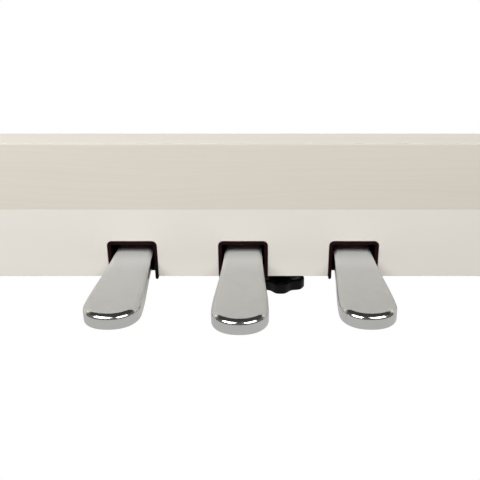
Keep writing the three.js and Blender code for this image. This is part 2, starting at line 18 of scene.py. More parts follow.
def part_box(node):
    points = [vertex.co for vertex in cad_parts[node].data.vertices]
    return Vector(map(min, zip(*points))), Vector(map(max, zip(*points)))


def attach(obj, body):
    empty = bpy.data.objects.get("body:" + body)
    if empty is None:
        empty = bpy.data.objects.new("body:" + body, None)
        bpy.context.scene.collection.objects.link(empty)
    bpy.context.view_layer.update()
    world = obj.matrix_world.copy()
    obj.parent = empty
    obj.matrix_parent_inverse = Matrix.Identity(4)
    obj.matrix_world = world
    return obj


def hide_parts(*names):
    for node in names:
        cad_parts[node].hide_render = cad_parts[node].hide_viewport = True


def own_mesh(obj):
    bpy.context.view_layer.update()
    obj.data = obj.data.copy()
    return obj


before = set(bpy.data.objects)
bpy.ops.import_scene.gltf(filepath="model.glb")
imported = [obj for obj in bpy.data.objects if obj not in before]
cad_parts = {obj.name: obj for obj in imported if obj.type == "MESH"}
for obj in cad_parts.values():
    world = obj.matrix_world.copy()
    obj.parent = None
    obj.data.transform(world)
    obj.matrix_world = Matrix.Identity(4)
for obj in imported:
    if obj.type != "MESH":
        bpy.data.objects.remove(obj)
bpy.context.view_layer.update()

LOG = logging.getLogger("pedal_board")
MM = 0.001
FLAT_AREA = 60 * MM * MM  # a face larger than this is flat and is shaded flat
SAME_PLACE = 1e-7  # corners closer than this are one
LEVEL = 1e-6  # differences in height or place below this are rounding
SHARP_EDGE = 32.0  # degrees; sharper edges get rounded
CRISP_EDGE = 35.0  # degrees; sharper edges stay crisp in the shading
WATTS = 4.0  # of a soft box, for each square metre and level
PEDAL_NAMES = ("soft", "sostenuto", "damper")
SIDES = ("left", "right")
Piece = bpy.types.Object
Socket = bpy.types.NodeSocket
Point2 = tuple[float, float]
Colour = tuple[float, float, float]
Number = Union[float, "Value"]


class Plane(Enum):
    """Plane of an outline: the row axes of its first and second coordinate, and of its depth."""

    PLAN = (0, 1, 2)
    SIDE = (1, 2, 0)
    FRONT = (0, 2, 1)


class Body(Enum):
    """Bodies of the frame that are not named after a pedal."""

    BOARD = "board"
    FOOT = "foot"
    SCREW = "adjuster_screw"


# --- Shader maths ---


@dataclass(frozen=True)
class Value:
    """A node's output socket that Python expressions can be written with."""

    graph: "Graph"
    socket: Socket

    def _math(self, operation: str, *operands: Number) -> "Value":
        """Work out a Math node.

        Args:
            operation: The node's operation.
            operands: One or two numbers or values.

        Returns:
            The node's result.
        """
        sockets = dict(enumerate(operands))
        result = self.graph.first("ShaderNodeMath", {"operation": operation}, sockets)
        return Value(self.graph, result)

    def __add__(self, other: Number) -> "Value":
        """Sum."""
        return self._math("ADD", self, other)

    __radd__ = __add__

    def __sub__(self, other: Number) -> "Value":
        """Difference."""
        return self._math("SUBTRACT", self, other)

    def __rsub__(self, other: Number) -> "Value":
        """Difference with the number first."""
        return self._math("SUBTRACT", other, self)

    def __mul__(self, other: Number) -> "Value":
        """Product."""
        return self._math("MULTIPLY", self, other)

    __rmul__ = __mul__

    def cosine(self) -> "Value":
        """Cosine of an angle in radians."""
        return self._math("COSINE", self)

    def sine(self) -> "Value":
        """Sine of an angle in radians."""
        return self._math("SINE", self)

    def ramp(self, low: float, high: float) -> "Value":
        """Smooth step from 0 to 1.

        Args:
            low: Where the step is still 0.
            high: From where it is 1.

        Returns:
            The step's value.
        """
        node = self.graph.node(
            "ShaderNodeMapRange",
            {"interpolation_type": "SMOOTHSTEP"},
            {"Value": self, "From Min": low, "From Max": high},
        )
        return Value(self.graph, node.outputs["Result"])

    def toward(self, first: Number, second: Number) -> "Value":
        """The first number where this value is 0 and the second where it is 1."""
        return self * (second - first) + first


@dataclass
class Graph:
    """A node tree that is filled by calls: a material's, a world's or a geometry group's."""

    tree: bpy.types.NodeTree

    def node(self, kind: str, settings: dict, sockets: dict) -> bpy.types.Node:
        """Add a node, set its properties first and then its inputs.

        Args:
            kind: The node's type name.
            settings: Properties by name.
            sockets: Values, links or sockets by input name or number.

        Returns:
            The new node.
        """
        made = self.tree.nodes.new(kind)
        for key, setting in settings.items():
            setattr(made, key, setting)
        for key, value in sockets.items():
            self.feed(made.inputs[key], value)
        return made

    def first(self, kind: str, settings: dict, sockets: dict) -> Socket:
        """Add a node as node() does and return its first output."""
        return self.node(kind, settings, sockets).outputs[0]

    def vector(self, x: Number, y: Number, z: Number) -> Socket:
        """A vector of three values or numbers."""
        return self.first("ShaderNodeCombineXYZ", {}, {0: x, 1: y, 2: z})

    def feed(self, socket: Socket, value: object) -> None:
        """Link a value or socket to an input, or set the input's own number or colour.

        Args:
            socket: The input.
            value: A value or socket to link, or a number, vector or colour.
        """
        if isinstance(value, Value):
            self.tree.links.new(value.socket, socket)
        elif isinstance(value, Socket):
            self.tree.links.new(value, socket)
        elif isinstance(value, (tuple, list)) and socket.type == "RGBA":
            socket.default_value = (*value, 1.0)
        else:
            socket.default_value = value

    def parts(self, vector: Socket) -> tuple[Value, Value, Value]:
        """The X, Y and Z of a vector socket."""
        node = self.node("ShaderNodeSeparateXYZ", {}, {0: vector})
        return tuple(Value(self, socket) for socket in node.outputs)

    def seen(self) -> Value:
        """1 for what the camera sees directly, else 0."""
        return Value(self, self.first("ShaderNodeLightPath", {}, {}))


class Shader(Graph):
    """The node tree of one material, with its Principled BSDF."""

    def __init__(self, name: str) -> None:
        """Make an empty material.

        Args:
            name: The material's name.
        """
        self.material = bpy.data.materials.new(name)
        self.material.use_nodes = True
        super().__init__(self.material.node_tree)
        self.surface = self.tree.nodes["Principled BSDF"]
        self.place = self.node("ShaderNodeTexCoord", {}, {}).outputs["Object"]

    def set(self, **sockets: object) -> None:
        """Feed inputs of the surface, whose names have underscores for spaces."""
        for name, value in sockets.items():
            self.feed(self.surface.inputs[name.replace("_", " ")], value)

    def axes(self) -> tuple[Value, Value, Value]:
        """The object's X, Y and Z coordinates in metres."""
        return self.parts(self.place)

    def noise(self, where: Socket, scale: float, detail: float) -> Value:
        """Fractal noise around 0.5.

        Args:
            where: The coordinates.
            scale: Features per unit of the coordinates.
            detail: Number of octaves.

        Returns:
            The noise value.
        """
        sockets = {"Vector": where, "Scale": scale, "Detail": detail}
        return Value(self, self.node("ShaderNodeTexNoise", {}, sockets).outputs["Fac"])

    def stretched(self, x: float, y: float, z: float) -> Socket:
        """Object coordinates scaled by one factor for each axis."""
        return self.first("ShaderNodeMapping", {}, {"Vector": self.place, "Scale": (x, y, z)})

    def blend(self, factor: Number, first: object, second: object) -> Socket:
        """Mix two colours.

        Args:
            factor: 0 for the first colour, 1 for the second.
            first: A colour or colour socket.
            second: A colour or colour socket.

        Returns:
            The mixed colour's socket.
        """
        sockets = {"Factor": factor, 6: first, 7: second}
        return self.node("ShaderNodeMix", {"data_type": "RGBA"}, sockets).outputs[2]

    def bump(self, height: Value, distance: float, strength: float) -> None:
        """Feed the surface's normal with a height field; distance is in metres."""
        sockets = {"Strength": strength, "Distance": distance, "Height": height}
        self.set(Normal=self.first("ShaderNodeBump", {}, sockets))


MADE: dict[str, bpy.types.Material] = {}


@dataclass(frozen=True)
class Finish:
    """A named finish; a subclass's dress() sets up its surface."""

    name: str
    slot: str

    def dress(self, shader: Shader) -> None:
        """Set the surface of a new material."""
        raise NotImplementedError

    def material(self) -> bpy.types.Material:
        """The finish's material.

        Returns:
            The material, made on first use.
        """
        if self.name not in MADE:
            shader = Shader(self.name)
            self.dress(shader)
            MADE[self.name] = shader.material
        return MADE[self.name]


@dataclass(frozen=True)
class WoodgrainFoil(Finish):
    """Pale printed and embossed wood grain that runs along X; lines and pores are per metre."""

    light: Colour = (0.725, 0.678, 0.597)
    dark: Colour = (0.682, 0.636, 0.554)
    lines: float = 420.0
    line_sway: float = 26.0
    pores: float = 1500.0
    pore_sway: float = 60.0
    emboss: float = 0.04 * MM

    def dress(self, shader: Shader) -> None:
        """Long wavering grain lines, short pores and a faint emboss.

        Args:
            shader: The node tree of the new material.
        """
        x, y, z = shader.axes()
        across = y + z
        sway = shader.noise(shader.vector(x * 1.6, 0.0, across * 9.0), 1.0, 3.0)
        grain_row = across * self.lines + sway * self.line_sway
        grain = shader.noise(shader.vector(x * 3.0, 0.0, grain_row), 1.0, 3.0)
        pore_row = across * self.pores + sway * self.pore_sway
        pores = shader.noise(shader.vector(x * 45.0, 0.0, pore_row), 1.0, 1.0).ramp(0.62, 0.74)
        cloud = shader.noise(shader.vector(x * 2.2, 0.0, across * 14.0), 1.0, 2.0)
        tone = grain.ramp(0.3, 0.72) * 0.5 + cloud * 0.08 + pores * 0.35
        shader.set(
            Base_Color=shader.blend(tone, self.light, self.dark),
            Roughness=0.46 + grain * 0.12 + pores * 0.1,
            Specular_IOR_Level=0.42,
        )
        shader.bump(1.0 - grain * 0.6 - pores * 0.5, self.emboss, 0.5)


@dataclass(frozen=True)
class SatinLacquer(Finish):
    """Smooth sprayed lacquer with a barely visible orange peel."""

    colour: Colour = (0.818, 0.78, 0.716)
    shade: Colour = (0.80, 0.763, 0.70)
    peel: float = 700.0
    peel_depth: float = 0.012 * MM

    def dress(self, shader: Shader) -> None:
        """Nearly even colour, soft gloss and a fine peel.

        Args:
            shader: The node tree of the new material.
        """
        cloud = shader.noise(shader.stretched(5.0, 5.0, 14.0), 1.0, 3.0)
        shader.set(
            Base_Color=shader.blend(cloud.ramp(0.35, 0.7), self.colour, self.shade),
            Roughness=0.26 + cloud * 0.08,
        )
        shader.bump(shader.noise(shader.place, self.peel, 1.0), self.peel_depth, 0.4)


@dataclass(frozen=True)
class PlatedMetal(Finish):
    """Plating, brushed to a satin or polished bright, with painted light or shade toward the neck.

    Toward the neck the colour is multiplied by neck: above 1 this is painted light, below 1
    painted shade. The painted share starts at its from distance in front of the lower panel and
    is full at its to distance in front of it, or behind it if that is negative.
    """

    colour: Colour
    roughness: float
    grain: float
    metal: float
    # neck multiplies the colour toward the neck: above 1 it is painted light, below 1 painted shade
    neck: float
    painted_light_from: float
    painted_light_to: float
    worn: float = 0.965
    brush: float = 2600.0
    brush_depth: float = 0.004 * MM

    def dress(self, shader: Shader) -> None:
        """Metal with fine lengthwise brushing, faint wear and painted light or shade toward the
        neck.

        Args:
            shader: The node tree of the new material.
        """
        brush = shader.noise(shader.stretched(self.brush, 60.0, self.brush), 1.0, 2.0)
        wear = shader.noise(shader.place, 90.0, 4.0)
        dull = tuple(channel * self.worn for channel in self.colour)
        # far is the colour with the painted light or shade of the neck
        far = tuple(min(1.0, channel * self.neck) for channel in self.colour)
        rubbed = shader.blend(wear.ramp(0.4, 0.75), self.colour, dull)
        _, y, _ = shader.axes()
        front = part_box("lower_panel")[0].y
        # share of the painted light or shade, growing toward the neck
        painted_neck_share = y.ramp(front - self.painted_light_from, front - self.painted_light_to)
        shader.set(
            Base_Color=shader.blend(painted_neck_share, rubbed, far),
            Metallic=self.metal,
            Roughness=self.roughness + (brush - 0.5) * self.grain + wear * 0.04,
        )
        shader.bump(brush, self.brush_depth, min(1.0, self.grain * 6.0))


@dataclass(frozen=True)
class MouldedPlastic(Finish):
    """Injection-moulded plastic or rubber with a fine spark-eroded grain."""

    colour: Colour
    roughness: float
    texture: float = 0.02 * MM
    gloss: float = 0.5
    grain: float = 2400.0
    mottle: float = 60.0
    rubbed: float = 1.3

    def dress(self, shader: Shader) -> None:
        """Even colour with a light mottle, fine grain and rubbed patches.

        Args:
            shader: The node tree of the new material.
        """
        mottle = shader.noise(shader.place, self.mottle, 3.0)
        rubbed = tuple(min(1.0, channel * self.rubbed + 0.0008) for channel in self.colour)
        shader.set(
            Base_Color=shader.blend(mottle.ramp(0.4, 0.8), self.colour, rubbed),
            Roughness=self.roughness + (mottle - 0.5) * 0.16,
            Specular_IOR_Level=self.gloss,
        )
        shader.bump(shader.noise(shader.place, self.grain, 2.0), self.texture, 0.5)


@dataclass(frozen=True)
class PowderCoat(Finish):
    """Black powder coat on sheet steel, with a little dust on it."""

    colour: Colour = (0.012, 0.012, 0.013)
    dust: Colour = (0.028, 0.027, 0.026)
    pebbles: float = 900.0
    pebble_depth: float = 0.04 * MM

    def dress(self, shader: Shader) -> None:
        """Fine pebbled coat.

        Args:
            shader: The node tree of the new material.
        """
        dust = shader.noise(shader.place, 35.0, 4.0)
        shader.set(
            Base_Color=shader.blend(dust.ramp(0.5, 0.85), self.colour, self.dust),
            Roughness=0.42 + dust * 0.16,
        )
        shader.bump(shader.noise(shader.place, self.pebbles, 2.0), self.pebble_depth, 0.6)


@dataclass(frozen=True)
class ZincPlate(Finish):
    """Bright zinc on steel, with the faint clouding of passivation."""

    colour: Colour = (0.60, 0.605, 0.60)
    tint: Colour = (0.56, 0.585, 0.62)
    roughness: float = 0.3
    rolling: float = 1800.0
    rolling_depth: float = 0.006 * MM

    def dress(self, shader: Shader) -> None:
        """Metal with drifting tint and fine rolling lines.

        Args:
            shader: The node tree of the new material.
        """
        cloud = shader.noise(shader.place, 45.0, 3.0)
        rolled = shader.noise(shader.stretched(60.0, self.rolling, self.rolling), 1.0, 2.0)
        shader.set(
            Base_Color=shader.blend(cloud.ramp(0.35, 0.7), self.colour, self.tint),
            Metallic=1.0,
            Roughness=self.roughness + cloud * 0.12 + rolled * 0.05,
        )
        shader.bump(rolled, self.rolling_depth, 0.5)


@dataclass(frozen=True)
class WoolFelt(Finish):
    """Dense pressed felt."""

    colour: Colour = (0.17, 0.02, 0.025)
    pale: float = 1.9
    fibres: float = 900.0
    tufts: float = 260.0
    pile: float = 0.3 * MM

    def dress(self, shader: Shader) -> None:
        """Matted fibres with a soft sheen.

        Args:
            shader: The node tree of the new material.
        """
        fibre = shader.noise(shader.stretched(self.fibres, 2600.0, self.fibres), 1.0, 3.0)
        tuft = shader.noise(shader.place, self.tufts, 4.0)
        pale = tuple(channel * self.pale for channel in self.colour)
        shader.set(
            Base_Color=shader.blend(tuft, self.colour, pale), Roughness=0.95, Sheen_Weight=0.35
        )
        shader.bump(fibre * 0.5 + tuft, self.pile, 0.8)


@dataclass(frozen=True)
class SolderResist(Finish):
    """Green circuit board with copper tracks under the resist."""

    colour: Colour = (0.012, 0.10, 0.045)
    track: Colour = (0.03, 0.20, 0.08)
    cells: float = 210.0
    jitter: float = 0.35
    track_height: float = 0.04 * MM

    def dress(self, shader: Shader) -> None:
        """Straight tracks from a blocky cell pattern.

        Args:
            shader: The node tree of the new material.
        """
        flat = shader.stretched(1.0, 1.0, 0.0)
        sockets = {"Vector": flat, "Scale": self.cells, "Randomness": self.jitter}
        settings = {"feature": "DISTANCE_TO_EDGE"}
        edges = shader.node("ShaderNodeTexVoronoi", settings, sockets).outputs["Distance"]
        track = 1.0 - Value(shader, edges).ramp(0.05, 0.1)
        shader.set(
            Base_Color=shader.blend(track, self.colour, self.track), Roughness=0.32 + track * 0.1
        )
        shader.bump(track, self.track_height, 0.6)


WOODGRAIN = WoodgrainFoil("woodgrain_foil", "woodgrain_foil")
LACQUER = SatinLacquer("satin_lacquer", "white_lacquer")
SATIN_PLATE = PlatedMetal(
    "satin_plate",
    "satin_chrome",
    colour=(0.56, 0.556, 0.539),
    roughness=0.5,
    grain=0.06,
    metal=0.38,
    # neck 1.6 is painted light: the satin top is lightened toward and inside the notch, where the
    # notch shades it
    neck=1.6,
    painted_light_from=40 * MM,
    painted_light_to=-12 * MM,
)
BRIGHT_PLATE = PlatedMetal(
    "bright_plate",
    "satin_chrome",
    colour=(0.78, 0.775, 0.75),
    roughness=0.10,
    grain=0.01,
    metal=1.0,
    # neck 0.3 is painted shade: the bright walls and nose are darkened toward the neck
    neck=0.3,
    painted_light_from=96 * MM,
    painted_light_to=45 * MM,
)
BEZEL_PLASTIC = MouldedPlastic(
    "bezel_plastic", "bezel_plastic", (0.0115, 0.0016, 0.002), 0.34, 0.01 * MM, 0.08
)
KNOB_PLASTIC = MouldedPlastic(
    "knob_plastic", "knob_plastic", (0.0034, 0.0031, 0.0034), 0.36, 0.03 * MM, 0.16
)
DARK_PLASTIC = MouldedPlastic("dark_plastic", "black_plastic", (0.02, 0.02, 0.021), 0.4)
NYLON = MouldedPlastic("nylon", "white_nylon", (0.78, 0.76, 0.70), 0.45, 0.01 * MM)
RUBBER = MouldedPlastic("rubber", "black_rubber", (0.013, 0.013, 0.013), 0.75, 0.04 * MM, 0.3)
BLACK_STEEL = PowderCoat("powder_coat", "black_steel")
ZINC = ZincPlate("zinc_plate", "zinc_steel")
SPRING_WIRE = ZincPlate(
    "spring_wire", "spring_steel", (0.30, 0.305, 0.31), (0.26, 0.27, 0.29), 0.22
)
FELT = WoolFelt("wool_felt", "wool_felt")
RESIST = SolderResist("solder_resist", "circuit_laminate")


# --- Meshes ---


def arc(centre: Point2, radius: float, start: float, end: float, steps: int) -> list[Point2]:
    """Points of an arc.

    Args:
        centre: Centre of the arc.
        radius: Its radius.
        start: First angle in degrees.
        end: Last angle in degrees.
        steps: Number of chords.

    Returns:
        steps + 1 points.
    """
    angles = [math.radians(start + (end - start) * k / steps) for k in range(steps + 1)]
    return [(centre[0] + radius * math.cos(a), centre[1] + radius * math.sin(a)) for a in angles]


def bezier(a: Point2, b: Point2, c: Point2, d: Point2, steps: int) -> list[Point2]:
    """Points of a cubic Bezier curve.

    Args:
        a: The first point.
        b: Its handle.
        c: The last point's handle.
        d: The last point.
        steps: Number of chords.

    Returns:
        steps + 1 points.
    """
    points = []
    for k in range(steps + 1):
        t = k / steps
        weights = ((1 - t) ** 3, 3 * t * (1 - t) ** 2, 3 * t * t * (1 - t), t**3)
        points.append(tuple(sum(w * p[i] for w, p in zip(weights, (a, b, c, d))) for i in (0, 1)))
    return points


def new_object(name: str, mesh: bpy.types.Mesh) -> Piece:
    """Put a mesh in the scene as an object at the origin.

    Args:
        name: The object's name.
        mesh: Its mesh.

    Returns:
        The object.
    """
    piece = bpy.data.objects.new(name, mesh)
    bpy.context.scene.collection.objects.link(piece)
    return piece


def from_bmesh(name: str, work: bmesh.types.BMesh) -> Piece:
    """Turn a bmesh into an object at the origin.

    Args:
        name: The object's name.
        work: The bmesh, which is freed.

    Returns:
        The object.
    """
    mesh = bpy.data.meshes.new(name)
    work.to_mesh(mesh)
    work.free()
    return new_object(name, mesh)


def lofted(name: str, rings: Sequence[Sequence[Vector]], looped: bool = False) -> Piece:
    """A closed skin over rings of equal length, whose faces point outwards.

    Args:
        name: The object's name.
        rings: The rings in order.
        looped: True if the last ring joins the first; otherwise both are filled.

    Returns:
        The skin as an object.
    """
    work = bmesh.new()
    made = [[work.verts.new(point) for point in ring] for ring in rings]
    count = len(made[0])
    for lower, upper in zip(made, made[1:] + made[:1] if looped else made[1:]):
        for k in range(count):
            n = (k + 1) % count
            work.faces.new((lower[k], lower[n], upper[n], upper[k]))
    if not looped:
        work.faces.new(list(reversed(made[0])))
        work.faces.new(made[-1])
    bmesh.ops.remove_doubles(work, verts=work.verts, dist=SAME_PLACE)
    bmesh.ops.recalc_face_normals(work, faces=work.faces)
    return from_bmesh(name, work)


def extruded(
    name: str, outline: Sequence[Point2], plane: Plane, low: float, high: float
) -> Piece:
    """A closed prism.

    Args:
        name: The object's name.
        outline: Corners in the plane, in order.
        plane: The outline's plane.
        low: Lowest depth.
        high: Highest depth.

    Returns:
        The prism as an object.
    """
    first, second, depth = plane.value
    rings = []
    for level in (low, high):
        ring = [Vector() for _ in outline]
        for place, (u, v) in zip(ring, outline):
            place[first], place[second], place[depth] = u, v, level
        rings.append(ring)
    return lofted(name, rings)


def turned(name: str, profile: Sequence[Point2], centre: Vector, steps: int) -> Piece:
    """A solid of revolution about Z from (radius, height) points that are off the axis.

    Args:
        name: The object's name.
        profile: Radius and height pairs from the first cap to the last.
        centre: Where the axis stands and the heights are measured from.
        steps: Number of sides.

    Returns:
        The solid as an object.
    """
    angles = [2 * math.pi * k / steps for k in range(steps)]
    round_z = [(math.cos(a), math.sin(a)) for a in angles]
    rings = [[centre + Vector((r * x, r * y, h)) for x, y in round_z] for r, h in profile]
    return lofted(name, rings)


def baked(piece: Piece) -> Piece:
    """Apply every modifier by taking the evaluated mesh.

    Args:
        piece: The piece.

    Returns:
        The same object.
    """
    graph = bpy.context.evaluated_depsgraph_get()
    mesh = bpy.data.meshes.new_from_object(piece.evaluated_get(graph), depsgraph=graph)
    mesh.name = piece.name
    piece.modifiers.clear()
    piece.data = mesh
    return piece


def eased(piece: Piece, width: float, segments: int = 3) -> Piece:
    """Round every sharp edge of a piece.

    Args:
        piece: The piece.
        width: Radius of the rounding.
        segments: Faces across it.

    Returns:
        The same object.
    """
    bevel = piece.modifiers.new("edges", "BEVEL")
    bevel.width = width
    bevel.segments = segments
    bevel.limit_method = "ANGLE"
    bevel.angle_limit = math.radians(SHARP_EDGE)
    return smooth(baked(piece))


def cut(piece: Piece, tools: Iterable[Piece]) -> Piece:
    """Take other solids away from a piece and remove them.

    Args:
        piece: The piece that is cut.
        tools: Solids that are used up.

    Returns:
        The same object.
    """
    tools = list(tools)
    for tool in tools:
        boolean = piece.modifiers.new("cut", "BOOLEAN")
        boolean.operation = "DIFFERENCE"
        boolean.solver = "EXACT"
        boolean.object = tool
    baked(piece)
    for tool in tools:
        bpy.data.objects.remove(tool)
    return piece


def smooth(piece: Piece, angle: float = CRISP_EDGE) -> Piece:
    """Shade smoothly, but keep large flat faces flat and sharp edges crisp.

    Args:
        piece: The piece.
        angle: Edges sharper than this many degrees stay crisp.

    Returns:
        The same object.
    """
    limit = math.radians(angle)
    work = bmesh.new()
    work.from_mesh(piece.data)
    for face in work.faces:
        face.smooth = face.calc_area() < FLAT_AREA
    for edge in work.edges:
        edge.smooth = len(edge.link_faces) != 2 or edge.calc_face_angle(0.0) < limit
    work.to_mesh(piece.data)
    work.free()
    return piece


def coat(piece: Piece, finish: Finish) -> Piece:
    """Give a piece, or a node of the frame, one finish.

    Args:
        piece: The piece or node.
        finish: Its only finish.

    Returns:
        The same object.
    """
    piece.data.materials.clear()
    piece.data.materials.append(finish.material())
    return piece


def mount(piece: Piece, finish: Finish, *nodes: str, body: str = Body.BOARD.value) -> Piece:
    """Coat a piece, let it ride on a body and stand for nodes of the frame.

    Args:
        piece: The piece, in place.
        finish: Its finish.
        nodes: Nodes that it replaces.
        body: The body it moves with.

    Returns:
        The same object.
    """
    coat(piece, finish)
    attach(piece, body)
    if nodes:
        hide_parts(*nodes)
    LOG.info("%s: %d faces on %s", piece.name, len(piece.data.polygons), body)
    return piece


def block(name: str, low: Vector, high: Vector) -> Piece:
    """A box between two corners."""
    outline = [(low.x, low.y), (high.x, low.y), (high.x, high.y), (low.x, high.y)]
    return extruded(name, outline, Plane.PLAN, low.z, high.z)


# --- Geometry node trees ---


class Tree(Graph):
    """A geometry node tree with named inputs that ends in Realize Instances and Set Material."""

    def __init__(self, name: str, inputs: dict[str, float]) -> None:
        """Make the tree's group and its interface.

        Args:
            name: The group's name.
            inputs: Names of the tree's number inputs and their values.
        """
        super().__init__(bpy.data.node_groups.new(name, "GeometryNodeTree"))
        face = self.tree.interface
        face.new_socket("Geometry", in_out="INPUT", socket_type="NodeSocketGeometry")
        for key in inputs:
            face.new_socket(key, in_out="INPUT", socket_type="NodeSocketFloat")
        face.new_socket("Finish", in_out="INPUT", socket_type="NodeSocketMaterial")
        face.new_socket("Geometry", in_out="OUTPUT", socket_type="NodeSocketGeometry")
        self.inputs = inputs
        self.source = self.tree.nodes.new("NodeGroupInput").outputs

    def size(self, name: str) -> Value:
        """One of the tree's number inputs."""
        return Value(self, self.source[name])

    def finish(self, geometry: Socket) -> None:
        """Close the tree: realize the instances, shade smooth, set the material.

        Args:
            geometry: What the tree has made.
        """
        real = self.first("GeometryNodeRealizeInstances", {}, {0: geometry})
        shaded = self.first("GeometryNodeSetShadeSmooth", {}, {0: real})
        sockets = {0: shaded, "Material": self.source["Finish"]}
        self.node("NodeGroupOutput", {}, {0: self.first("GeometryNodeSetMaterial", {}, sockets)})

    def grow(
        self, piece: Piece, finish: Finish, angle: float = CRISP_EDGE
    ) -> Piece:
        """Run the tree on a piece and keep the result as its plain mesh.

        Args:
            piece: The object whose geometry the tree starts from.
            finish: The finish that the tree sets.
            angle: Edges sharper than this many degrees stay crisp.

        Returns:
            The same object.
        """
        modifier = piece.modifiers.new("shape", "NODES")
        modifier.node_group = self.tree
        for item in self.tree.interface.items_tree:
            if item.in_out == "INPUT" and item.name in self.inputs:
                modifier[item.identifier] = float(self.inputs[item.name])
            if item.in_out == "INPUT" and item.name == "Finish":
                modifier[item.identifier] = finish.material()
        return smooth(baked(piece), angle)


class HelixTree(Tree):
    """A round wire wound about a vertical axis that stands at the origin."""

    STEPS_A_TURN = 40
    WIRE_SIDES = 10

    def __init__(
        self, name: str, radius: float, wire: float, turns: float, rise: float, flat: float
    ) -> None:
        """Build the winding.

        Args:
            name: The group's name.
            radius: From the axis to the wire's middle.
            wire: Radius of the wire.
            turns: Number of turns.
            rise: Height of the wire's middle from start to end.
            flat: Share of the winding at each end that stays level.
        """
        sizes = {"Radius": radius, "Wire": wire, "Turns": turns, "Rise": rise, "Flat": flat}
        super().__init__(name, sizes)
        reach, level = self.size("Radius"), self.size("Flat")
        sockets = {
            0: self.first("GeometryNodeCurvePrimitiveLine", {}, {}),
            "Count": int(turns * self.STEPS_A_TURN) + 1,
        }
        line = self.first("GeometryNodeResampleCurve", {"mode": "COUNT"}, sockets)
        share = Value(self, self.node("GeometryNodeSplineParameter", {}, {}).outputs["Factor"])
        angle = share * self.size("Turns") * (2 * math.pi)
        sockets = {
            "Value": share,
            "From Min": level,
            "From Max": 1.0 - level,
            "To Max": self.size("Rise"),
        }
        slope = self.node("ShaderNodeMapRange", {"interpolation_type": "LINEAR"}, sockets)
        place = self.vector(angle.cosine() * reach, angle.sine() * reach, slope.outputs["Result"])
        wound = self.first("GeometryNodeSetPosition", {}, {0: line, "Position": place})
        sockets = {"Resolution": self.WIRE_SIDES, "Radius": self.size("Wire")}
        section = self.first("GeometryNodeCurvePrimitiveCircle", {}, sockets)
        sockets = {0: wound, 1: section, "Fill Caps": True}
        self.finish(self.first("GeometryNodeCurveToMesh", {}, sockets))


class ScrewHeadTree(Tree):
    """Cross-recessed pan heads, one on each point, facing the way its `facing` attribute points."""

    SEED = 7
    RECESS_LENGTH = 1.1
    RECESS_WIDTH = 0.24
    RECESS_LIFT = 0.95

    def __init__(self, name: str, radius: float, height: float) -> None:
        """Build the head and put it on the points.

        Args:
            name: The group's name.
            radius: Radius of a head.
            height: Height of its dome.
        """
        super().__init__(name, {"Radius": radius, "Height": height})
        wide, tall = self.size("Radius"), self.size("Height")
        round_ball = {"Segments": 28, "Rings": 18, "Radius": 1.0}
        ball = self.first("GeometryNodeMeshUVSphere", {}, round_ball)
        sockets = {0: ball, "Scale": self.vector(wide, wide, tall)}
        dome = self.first("GeometryNodeTransform", {}, sockets)
        under = wide * 4.0
        arm = self.vector(wide * self.RECESS_LENGTH, wide * self.RECESS_WIDTH, tall)
        lift = tall * self.RECESS_LIFT
        cutters = [self._block(self.vector(under, under, under), under * -0.5, 0.0)]
        cutters += [self._block(arm, lift, turn) for turn in (0.0, math.pi / 2)]
        settings = {"operation": "DIFFERENCE", "solver": "EXACT"}
        head = self.node("GeometryNodeMeshBoolean", settings, {0: dome})
        for cutter in cutters:
            self.feed(head.inputs[1], cutter)
        settings = {"data_type": "FLOAT_VECTOR"}
        facing = self.first("GeometryNodeInputNamedAttribute", settings, {"Name": "facing"})
        tilt = self.first("FunctionNodeAlignRotationToVector", {"axis": "Z"}, {"Vector": facing})
        sockets = {3: math.pi, "Seed": self.SEED}
        spin = self.node("FunctionNodeRandomValue", {"data_type": "FLOAT"}, sockets)
        sockets = {0: tilt, 1: self.vector(0.0, 0.0, spin.outputs[1])}
        aimed = self.first("FunctionNodeRotateRotation", {"rotation_space": "LOCAL"}, sockets)
        points = self.first("GeometryNodeMeshToPoints", {}, {0: self.source["Geometry"]})
        sockets = {"Points": points, "Instance": head.outputs[0], "Rotation": aimed}
        self.finish(self.first("GeometryNodeInstanceOnPoints", {}, sockets))

    def _block(self, size: Socket, lift: Value, turn: float) -> Socket:
        """A block on the head's axis.

        Args:
            size: Its three sides.
            lift: Height of its middle above the seat.
            turn: Its turn about the axis, in radians.

        Returns:
            The block's geometry.
        """
        cube = self.first("GeometryNodeMeshCube", {}, {"Size": size})
        place = self.vector(0.0, 0.0, lift)
        sockets = {0: cube, "Translation": place, "Rotation": (0.0, 0.0, turn)}
        return self.first("GeometryNodeTransform", {}, sockets)


# --- Sub-assemblies ---


def centre_of(node: str) -> Vector:
    """Middle of a node's box."""
    low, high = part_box(node)
    return (low + high) / 2


